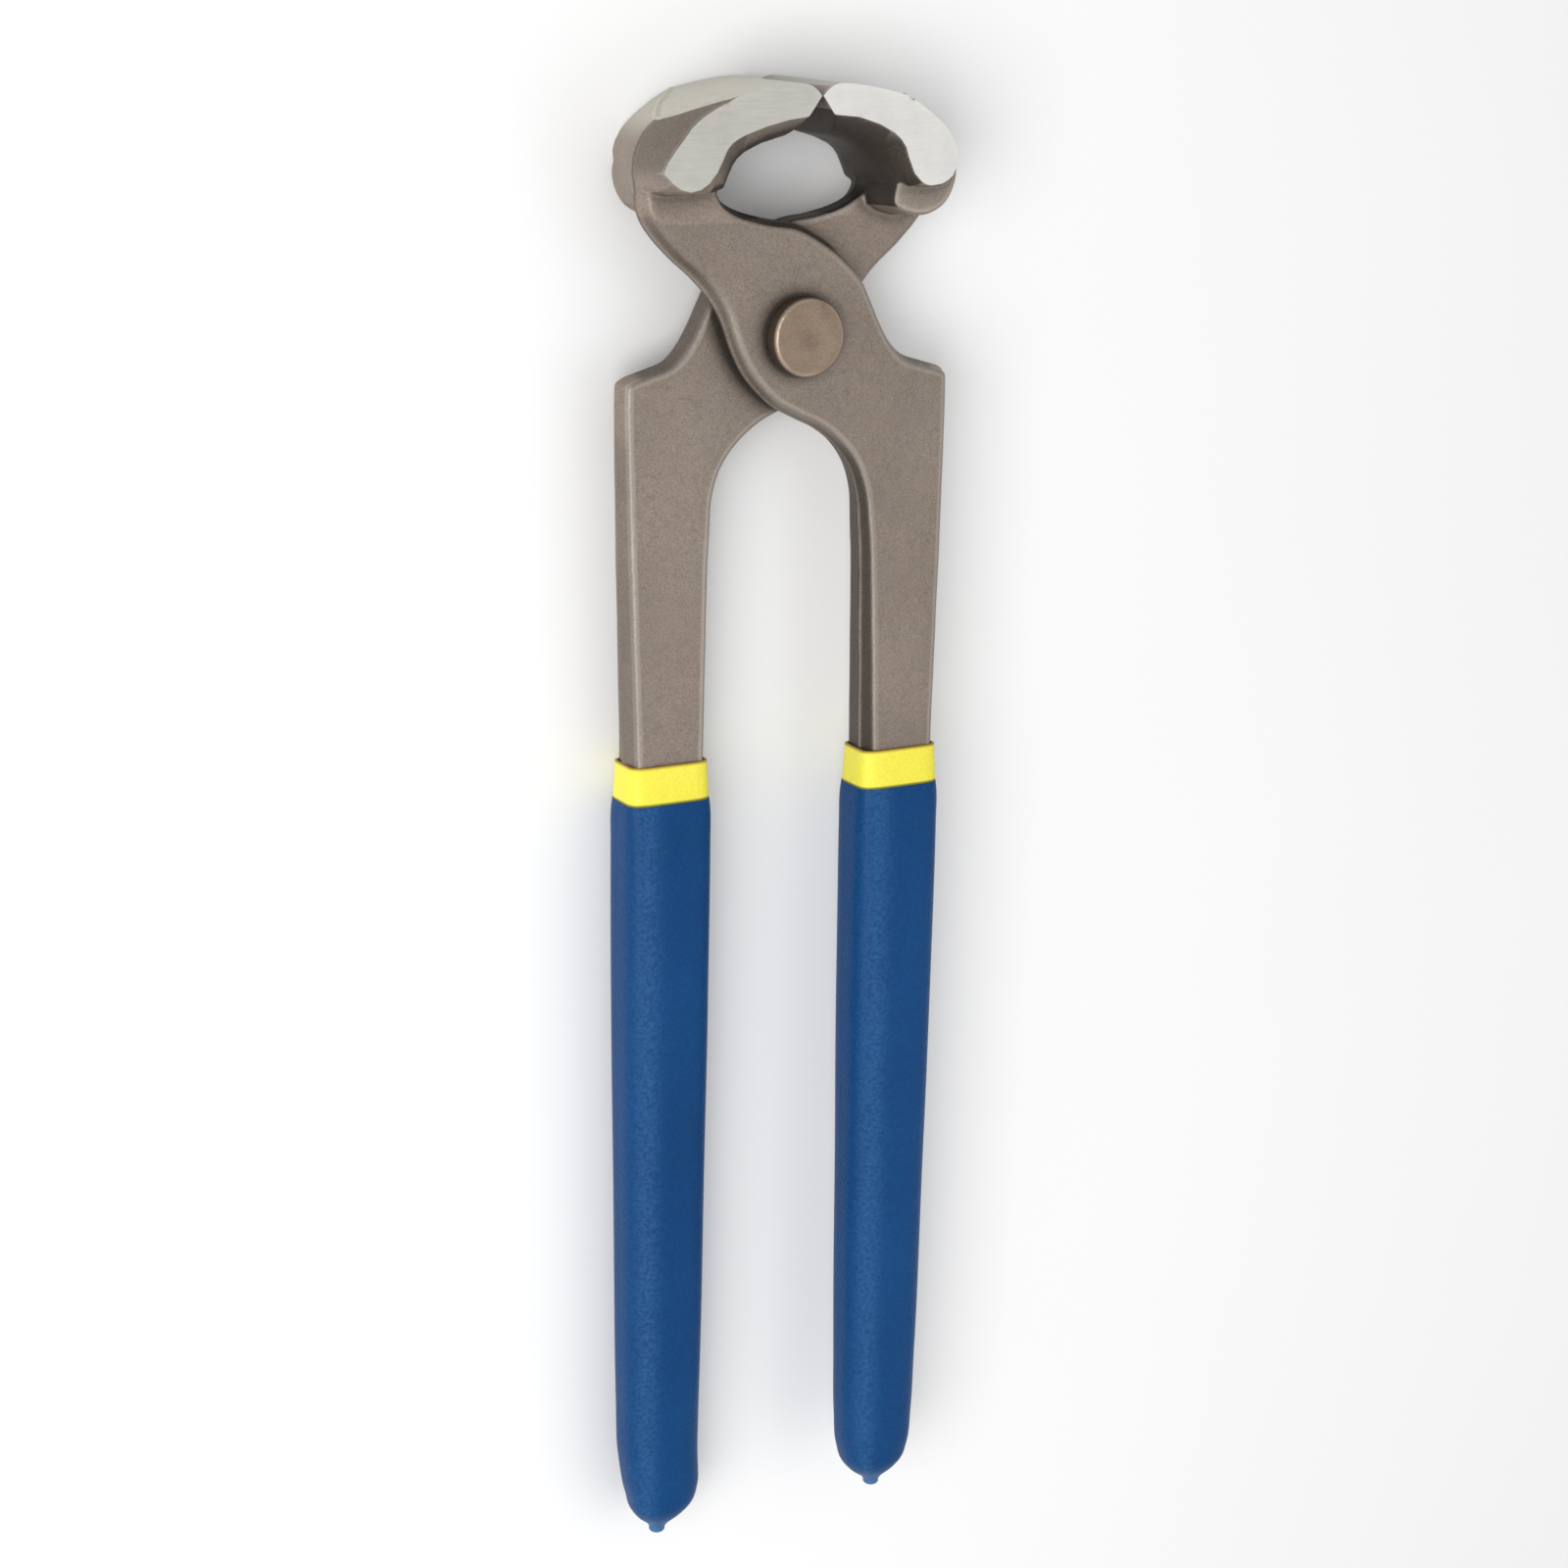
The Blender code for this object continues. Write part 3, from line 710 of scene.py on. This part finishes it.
def loft(rings):
    """Faces through rings of equal count, closed by a fan at each end."""
    steps = len(rings[0])
    points = list(np.concatenate(rings))
    faces = []
    for i in range(len(rings) - 1):
        for j in range(steps):
            k = (j + 1) % steps
            faces.append((i * steps + j, i * steps + k, (i + 1) * steps + k, (i + 1) * steps + j))
    for row, turn in ((0, 1), (len(rings) - 1, 0)):
        centre = len(points)
        points.append(np.mean(rings[row], axis=0))
        for j in range(steps):
            ends = (row * steps + (j + turn) % steps, row * steps + (j + 1 - turn) % steps)
            faces.append((centre, *ends))
    return np.array(points), faces


def coat(name, stations, wall, turned, lean, wave):
    """Dipped sleeve: a plain inside, the rounded lip and the outside down to the bottom."""
    top, bottom = stations[0][0], stations[-1][0]
    near_top = top - 2.4 * (1 - np.cos(np.linspace(0, pi / 2, 7)[1:]))
    middle = np.arange(top - 3.4, bottom + 14.0, -1.6)
    near_end = bottom + 13.0 * (1 - np.sin(np.linspace(0, pi / 2, 22)))
    table = resample(stations, np.concatenate([near_top, middle, near_end]))
    outer = [superellipse(*row) for row in table]
    y0, w0, t0, n0 = stations[0]
    lip = []
    for angle in np.linspace(0, pi / 2, 5)[:-1]:
        inset = COAT_LIP * (1 - sin(angle))
        drop = COAT_LIP * (1 - cos(angle))
        lip.append(superellipse(y0 - drop * 0.6, w0 - inset, t0 - inset, n0))
    inner_heights = np.linspace(bottom + 16.0, top - 0.6, 16)
    inner = [
        superellipse(y, w - wall, t - wall, n)
        for y, w, t, n in resample(stations, inner_heights)]
    inner.append(superellipse(y0 - 0.05, w0 - wall, t0 - wall, n0))
    points, faces = loft(inner + lip + outer)
    x, y, z = points.T
    push = wave * unevenness(x * (1.3 if turned else 1), y * 0.45, z, COAT_WAVE_LENGTH)
    points[:, 0] += push * np.sign(x - COAT_CENTRE[0]) * 0.7
    points[:, 0] += lean * ramp_up(-y, 234.0, 249.0) * ramp_up(y, -257.0, -247.0)
    points[:, 2] += push * np.sign(z - COAT_CENTRE[1]) * 0.5
    # Painted highlight: a paler strip along one rounded corner of each grip
    across = (x - COAT_CENTRE[0]) / np.interp(-y, -table[:, 0], table[:, 1])
    place, width = HIGHLIGHT_STRIP
    if turned:
        painted_highlight = bell(across - place, width) * (z < COAT_CENTRE[1])
    else:
        painted_highlight = bell(across + place, width) * (z > COAT_CENTRE[1])
    return new_object(name, points, faces, turned, {"painted_highlight": painted_highlight})


def stretched(stations, tip):
    """Stations moved so that the last one lies at tip, keeping the first in place."""
    first, last = stations[0][0], stations[-1][0]
    factor = (tip - first) / (last - first)
    return [(first + (s[0] - first) * factor, *s[1:]) for s in stations]


def yellow_stations(tip):
    """Yellow band, then the same coat running down inside the blue one."""
    hidden = [
        (y, w - UNDER_BLUE, t - UNDER_BLUE, n)
        for y, w, t, n in stretched(BLUE_STATIONS, tip)[2:8]]
    drop, width_change, thickness_change, squareness = YELLOW_END
    y, w, t, _ = hidden[-1]
    end = (y + drop, w + width_change, t + thickness_change, squareness)
    return [*BAND_STATIONS, *hidden, end]


# ---------------------------------------------------------------- materials

# Colours, linear
FORGED_DARK = (0.295, 0.242, 0.200)
FORGED_LIGHT = (0.345, 0.282, 0.234)
# Worn steel, also the colour of the painted highlight on edges
WORN_AND_HIGHLIT_STEEL = (0.66, 0.61, 0.55)
# Colour of the painted shade on the forging
PAINTED_SHADE_DARK = (0.028, 0.023, 0.018)
# Ground end faces: the far end's colours are painted lighter than the near end's, as if better
# lit
NEAR_GROUND_DARK = (0.485, 0.473, 0.437)
NEAR_GROUND_LIGHT = (0.555, 0.543, 0.505)
FAR_GROUND_DARK = (0.685, 0.675, 0.648)
FAR_GROUND_LIGHT = (0.75, 0.74, 0.712)
CROWN_DARK = (0.49, 0.472, 0.40)
CROWN_LIGHT = (0.595, 0.575, 0.495)
RIVET_DARK = (0.22, 0.160, 0.115)
RIVET_LIGHT = (0.30, 0.228, 0.170)
# Painted shade on the rivet's wall and dish, and its rim's wear with a painted highlight
RIVET_PAINTED_SHADE = (0.045, 0.032, 0.024)
RIVET_RIM_WEAR_AND_HIGHLIGHT = (0.80, 0.66, 0.52)
YELLOW_DARK = (0.82, 0.735, 0.055)
YELLOW_LIGHT = (0.90, 0.835, 0.095)
YELLOW_TOP = (0.30, 0.15, 0.012)
# Painted shade on the yellow just above the blue coat's lip
YELLOW_FOOT_SHADE = (0.10, 0.11, 0.02)
BLUE_DARK = (0.001, 0.044, 0.155)
BLUE_LIGHT = (0.002, 0.055, 0.186)
BLUE_NUB = (0.10, 0.22, 0.42)
# Colour of the painted highlight on the blue grips
BLUE_PAINTED_HIGHLIGHT = (0.06, 0.17, 0.36)
# Painted shade: each half's brightness, and its crown's; the front half and the rear half's crown
# are darkened as if less lit
HALF_SHADE_TONES = {"front": (0.94, 1.0), "rear": (1.0, 0.7)}
SIDES = (("front", False), ("rear", True))          # the rear half is turned

class Nodes:
    """Short helpers for building one node material."""

    def __init__(self, name):
        self.material = bpy.data.materials.new(name)
        self.material.use_nodes = True
        self.tree = self.material.node_tree
        self.shader = self.tree.nodes["Principled BSDF"]
        self.coordinates = self.tree.nodes.new("ShaderNodeTexCoord").outputs["Object"]

    def link(self, source, target):
        self.tree.links.new(source, target)

    def mapping(self, scale, rotation=(0, 0, 0)):
        node = self.tree.nodes.new("ShaderNodeMapping")
        node.inputs["Scale"].default_value = scale
        node.inputs["Rotation"].default_value = rotation
        self.link(self.coordinates, node.inputs["Vector"])
        return node.outputs["Vector"]

    def noise(self, scale, detail=3.0, rough=0.5, vector=None):
        node = self.tree.nodes.new("ShaderNodeTexNoise")
        node.inputs["Scale"].default_value = scale
        node.inputs["Detail"].default_value = detail
        node.inputs["Roughness"].default_value = rough
        node.inputs["Distortion"].default_value = 0.0
        self.link(vector or self.coordinates, node.inputs["Vector"])
        return node.outputs["Fac"]

    def ramp(self, value, *stops):
        """Colour between stops, each a place and a colour."""
        node = self.tree.nodes.new("ShaderNodeValToRGB")
        ramp = node.color_ramp
        while len(ramp.elements) < len(stops):
            ramp.elements.new(0.5)
        for element, (place, colour) in zip(ramp.elements, stops):
            element.position = place
            element.color = (*colour, 1.0)
        self.link(value, node.inputs["Fac"])
        return node.outputs["Color"]

    def scaled(self, value, low, high, from_low=0.0, from_high=1.0):
        node = self.tree.nodes.new("ShaderNodeMapRange")
        node.inputs["From Min"].default_value = from_low
        node.inputs["From Max"].default_value = from_high
        node.inputs["To Min"].default_value = low
        node.inputs["To Max"].default_value = high
        self.link(value, node.inputs["Value"])
        return node.outputs["Result"]

    def mix(self, factor, a, b, blend="MIX"):
        node = self.tree.nodes.new("ShaderNodeMix")
        node.data_type = "RGBA"
        node.blend_type = blend
        for value, socket in ((factor, node.inputs[0]), (a, node.inputs[6]), (b, node.inputs[7])):
            self.put(value, socket)
        return node.outputs[2]

    def blend_value(self, factor, a, b):
        node = self.tree.nodes.new("ShaderNodeMix")
        node.data_type = "FLOAT"
        for value, socket in ((factor, node.inputs[0]), (a, node.inputs[2]), (b, node.inputs[3])):
            self.put(value, socket)
        return node.outputs[0]

    def math(self, operation, a, b):
        node = self.tree.nodes.new("ShaderNodeMath")
        node.operation = operation
        self.put(a, node.inputs[0])
        self.put(b, node.inputs[1])
        return node.outputs[0]

    def put(self, value, socket):
        if isinstance(value, bpy.types.NodeSocket):
            self.link(value, socket)
        elif isinstance(value, tuple):
            socket.default_value = (*value, 1.0) if len(value) == 3 else value
        else:
            socket.default_value = value

    def attribute(self, name):
        node = self.tree.nodes.new("ShaderNodeAttribute")
        node.attribute_name = name
        return node.outputs["Fac"]

    def bump(self, height, strength, distance, normal=None):
        node = self.tree.nodes.new("ShaderNodeBump")
        node.inputs["Strength"].default_value = strength
        node.inputs["Distance"].default_value = distance
        self.link(height, node.inputs["Height"])
        if normal is not None:
            self.link(normal, node.inputs["Normal"])
        return node.outputs["Normal"]

    def finish(self, colour, roughness, normal, metallic):
        self.link(colour, self.shader.inputs["Base Color"])
        self.put(roughness, self.shader.inputs["Roughness"])
        self.put(metallic, self.shader.inputs["Metallic"])
        self.link(normal, self.shader.inputs["Normal"])
        return self.material


def grey(value):
    return (value, value, value)


def forged_steel(name, shade_tone, crown_shade_tone):
    """Shot-blasted forging, with ground crown and end faces on the jaws."""
    n = Nodes(name)
    clouds = n.noise(38.0, 3.0, 0.55)
    mottle = n.noise(520.0, 4.0, 0.65)
    grain = n.noise(2600.0, 2.0, 0.6)
    base = n.ramp(clouds, (0.35, FORGED_DARK), (0.65, FORGED_LIGHT))
    fleck = n.ramp(
        mottle, (0.28, (0.82, 0.82, 0.80)), (0.5, grey(1.0)), (0.74, (1.13, 1.11, 1.10)))
    base = n.mix(0.6, base, fleck, "MULTIPLY")
    hues = n.ramp(n.noise(95.0, 3.0, 0.55), (0.3, (1.025, 0.99, 0.98)), (0.7, (0.975, 1.0, 1.01)))
    base = n.mix(1.0, base, hues, "MULTIPLY")
    # Painted shade: the whole half is darkened by its given tone, as if less lit
    base = n.mix(1.0, base, grey(shade_tone), "MULTIPLY")
    speck = n.ramp(grain, (0.3, (0.50, 0.49, 0.48)), (0.5, grey(1.0)), (0.75, (1.5, 1.5, 1.48)))
    forged = n.mix(0.45, base, speck, "MULTIPLY")
    # Edge wear with a painted highlight: thin convex edges lighten towards worn steel
    wear_and_highlight_share = n.scaled(n.attribute("wear_and_highlight"), 0.0, 0.45, 0.10, 0.32)
    forged = n.mix(wear_and_highlight_share, forged, WORN_AND_HIGHLIT_STEEL)
    # Painted shade: the forging darkens towards a dark colour in crevices, the hollow and on
    # sides
    dark = n.mix(0.75, PAINTED_SHADE_DARK, speck, "MULTIPLY")
    forged = n.mix(n.scaled(n.attribute("shade"), 0.0, 1.0, 0.0, 0.96), forged, dark)

    streaks = n.noise(1.0, 3.0, 0.65, n.mapping((160.0, 2600.0, 2600.0), (0.0, 0.0, 0.45)))
    blotches = n.noise(260.0, 4.0, 0.6)
    near = n.ramp(streaks, (0.3, NEAR_GROUND_DARK), (0.7, NEAR_GROUND_LIGHT))
    far = n.ramp(streaks, (0.3, FAR_GROUND_DARK), (0.7, FAR_GROUND_LIGHT))
    # The far end face is painted lighter than the near one, as if better lit
    marks = n.mix(n.attribute("lit_far_end"), near, far)
    warm = n.ramp(
        blotches, (0.3, (0.94, 0.92, 0.93)), (0.5, grey(1.0)), (0.7, (1.04, 1.05, 1.02)))
    marks = n.mix(0.7, marks, warm, "MULTIPLY")
    crown_marks = n.ramp(streaks, (0.3, CROWN_DARK), (0.7, CROWN_LIGHT))
    crown_marks = n.mix(0.6, crown_marks, warm, "MULTIPLY")
    # Painted shade on the crown, darkened by its given tone as if less lit
    crown_marks = n.mix(1.0, crown_marks, grey(crown_shade_tone), "MULTIPLY")

    end = n.scaled(n.attribute("ground_end"), 0.0, 1.0, -0.03, 0.03)
    crown = n.scaled(n.attribute("ground_crown"), 0.0, 1.0, -0.04, 0.04)
    # Painted rim light: that strip is lightened towards the crown's colour
    colour = n.mix(n.scaled(n.attribute("painted_rim_light"), 0.0, 0.8), forged, crown_marks)
    colour = n.mix(crown, colour, crown_marks)
    colour = n.mix(end, colour, marks)
    ground = n.math("MAXIMUM", end, crown)
    roughness = n.blend_value(ground, n.scaled(mottle, 0.44, 0.60), n.scaled(streaks, 0.36, 0.50))
    roughness = n.math("SUBTRACT", roughness, n.scaled(wear_and_highlight_share, 0.0, 0.16))
    blasted = n.bump(grain, 0.45, 0.00012)
    blasted = n.bump(mottle, 0.3, 0.0003, blasted)
    honed = n.bump(streaks, 0.08, 0.00004)
    normal = n.tree.nodes.new("ShaderNodeMix")
    normal.data_type = "VECTOR"
    n.link(ground, normal.inputs[0])
    n.link(blasted, normal.inputs[4])
    n.link(honed, normal.inputs[5])
    return n.finish(colour, roughness, normal.outputs[1], n.blend_value(ground, 0.5, 0.62))


def rivet_steel():
    """Bronze-brown heat tint, with painted shade on the wall and in the dish, and the rim
    brightened where the hammer rubbed it and by a painted highlight.
    """
    n = Nodes("rivet_steel_visual")
    patches = n.noise(220.0, 4.0, 0.6)
    grain = n.noise(2200.0, 3.0, 0.6)
    base = n.ramp(patches, (0.3, RIVET_DARK), (0.7, RIVET_LIGHT))
    speck = n.ramp(grain, (0.3, (0.70, 0.69, 0.67)), (0.7, (1.25, 1.23, 1.2)))
    colour = n.mix(0.5, base, speck, "MULTIPLY")
    # Painted shade on the wall and in the dish
    colour = n.mix(n.scaled(n.attribute("shade"), 0.0, 1.0), colour, RIVET_PAINTED_SHADE)
    # Hammer wear and a painted highlight on the rim
    colour = n.mix(n.scaled(n.attribute("wear_and_highlight"), 0.0, 0.35), colour, RIVET_RIM_WEAR_AND_HIGHLIGHT)
    normal = n.bump(grain, 0.35, 0.0001)
    normal = n.bump(patches, 0.4, 0.0008, normal)
    return n.finish(colour, n.scaled(patches, 0.34, 0.5), normal, 0.6)


def dipped_plastic(name, dark, light, bands, speckle, gloss, painted_highlight=None):
    """Soft PVC: slow colour drift and fine pebbling; bands are (y from, y to, colour, share)."""
    n = Nodes(name)
    drift = n.noise(30.0, 3.0, 0.5)
    pebble = n.noise(1300.0, 3.0, 0.55)
    fine = n.noise(3000.0, 2.0, 0.5)
    colour = n.ramp(drift, (0.3, dark), (0.7, light))
    speck = n.ramp(pebble, (0.3, grey(0.80)), (0.7, grey(1.22)))
    colour = n.mix(speckle, colour, speck, "MULTIPLY")
    # Painted highlight along the grip, broken by the pebbling
    if painted_highlight is not None:
        pale = n.math("MULTIPLY", n.attribute("painted_highlight"), n.scaled(pebble, 0.10, 0.34, 0.35, 0.65))
        colour = n.mix(pale, colour, painted_highlight)
    split = n.tree.nodes.new("ShaderNodeSeparateXYZ")
    n.link(n.coordinates, split.inputs[0])
    for start, end, tint, share in bands:
        colour = n.mix(n.scaled(split.outputs["Y"], share, 0.0, start, end), colour, tint)
    normal = n.bump(fine, 0.25, 0.00005)
    normal = n.bump(pebble, 0.6, 0.00034, normal)
    normal = n.bump(drift, 0.3, 0.002, normal)
    n.shader.inputs["Specular IOR Level"].default_value = gloss
    return n.finish(colour, n.scaled(pebble, 0.36, 0.50), normal, 0.0)


# ---------------------------------------------------------------- assembly

def dress(piece, finish, body, nodes):
    piece.data.materials.append(finish)
    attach(piece, body)
    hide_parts(*nodes)


def build_halves():
    points, quads = half_surface()
    values = surface_values(points)
    for side, turned in SIDES:
        steel = forged_steel(side + "_steel_visual", *HALF_SHADE_TONES[side])
        half = new_object(side + "_half_visual", points, quads, turned, values)
        dress(half, steel, side, [side + "_half"])


def height(y, above=0.0):
    """World Y of a height in tool coordinates."""
    return PIVOT.y + (y + above) * MM


def build_coats():
    # The yellow's bands: darker orange-brown along its top edge, and painted shade just above the
    # blue coat
    yellow = dipped_plastic("yellow_pvc_visual", YELLOW_DARK, YELLOW_LIGHT, (
        (height(COAT_TOP, -0.1), height(COAT_TOP, -0.7), YELLOW_TOP, 0.9),
        (height(BLUE_TOP, 0.2), height(BLUE_TOP, 0.6), YELLOW_FOOT_SHADE, 0.9)), 0.22, 0.26)
    for side, turned in SIDES:
        tip = NUB_TIPS[side]
        nub = (height(tip, 1.0), height(tip, 5.4), BLUE_NUB, 0.6)
        blue = dipped_plastic(
            side + "_blue_pvc_visual", BLUE_DARK, BLUE_LIGHT, (nub,), 0.6, 0.14, BLUE_PAINTED_HIGHLIGHT)
        lean = TIP_LEAN[side]
        under = coat(
            side + "_undercoat_visual", yellow_stations(tip), YELLOW_WALL, turned, lean, 0.03)
        dress(under, yellow, side, [side + "_grip_undercoat"])
        grip = coat(
            side + "_grip_visual", stretched(BLUE_STATIONS, tip), BLUE_WALL, turned, lean, 0.05)
        dress(grip, blue, side, [side + "_grip"])


def build_rivet():
    piece = rivet()
    dress(piece, rivet_steel(), "rear", ["pivot_rivet"])


# Floor and studio, metres
FLOOR_REACH = 6.0
FLOOR_GAP = 0.0002
WORLD_LIGHT = 0.58


def floor():
    mesh = bpy.data.meshes.new("floor")
    reach = FLOOR_REACH
    mesh.from_pydata(
        [(-reach, -reach, 0), (reach, -reach, 0), (reach, reach, 0), (-reach, reach, 0)],
        [], [(0, 1, 2, 3)])
    made = bpy.data.objects.new("floor", mesh)
    bpy.context.scene.collection.objects.link(made)
    made.location.z = -FLOOR_GAP
    n = Nodes("floor_paint")
    paint = n.ramp(n.noise(3.0), (0.3, grey(0.90)), (0.7, grey(0.92)))
    n.link(paint, n.shader.inputs["Base Color"])
    n.shader.inputs["Roughness"].default_value = 0.8
    mesh.materials.append(n.material)


def area_light(name, place, size, power):
    """Square light aimed at the origin."""
    data = bpy.data.lights.new(name, "AREA")
    data.size = size
    data.energy = power
    made = bpy.data.objects.new(name, data)
    made.location = place
    made.rotation_euler = (-Vector(place)).to_track_quat("-Z", "Y").to_euler()
    bpy.context.scene.collection.objects.link(made)


def lights():
    world = bpy.data.worlds.new("studio")
    world.use_nodes = True
    background = world.node_tree.nodes["Background"]
    background.inputs["Color"].default_value = (1.0, 1.0, 1.0, 1.0)
    background.inputs["Strength"].default_value = WORLD_LIGHT
    bpy.context.scene.world = world
    bpy.context.scene.view_settings.view_transform = "Standard"
    area_light("key", (-0.64, 0.03, 0.74), 0.6, 6.6)
    area_light("fill", (0.5, -0.2, 0.8), 0.8, 1.2)


def camera():
    """View from the front left and a little from the head's side; lengths in millimetres."""
    azimuth, elevation, roll = radians(28.95), radians(15.6), radians(0.95)
    distance = 640.0
    shift_x, shift_y = -1.745, -7.75
    aim = Vector((0, -100, 0))
    away = Vector((
        -sin(azimuth) * cos(elevation), sin(elevation), cos(azimuth) * cos(elevation)))
    right = Vector((0, 1, 0)).cross(away).normalized()
    up = away.cross(right)
    turned_right = right * cos(roll) + up * sin(roll)
    turned_up = up * cos(roll) - right * sin(roll)
    place = aim + away * distance - turned_right * shift_x - turned_up * shift_y
    data = bpy.data.cameras.new("camera")
    data.sensor_width = 36.0
    data.lens = 72.0
    data.clip_start = 0.01
    made = bpy.data.objects.new("camera", data)
    matrix = Matrix((turned_right, turned_up, away)).transposed().to_4x4()
    matrix.translation = PIVOT + place * MM
    made.matrix_world = matrix
    bpy.context.scene.collection.objects.link(made)
    bpy.context.scene.camera = made


camera()
lights()
floor()
build_halves()
build_coats()
build_rivet()
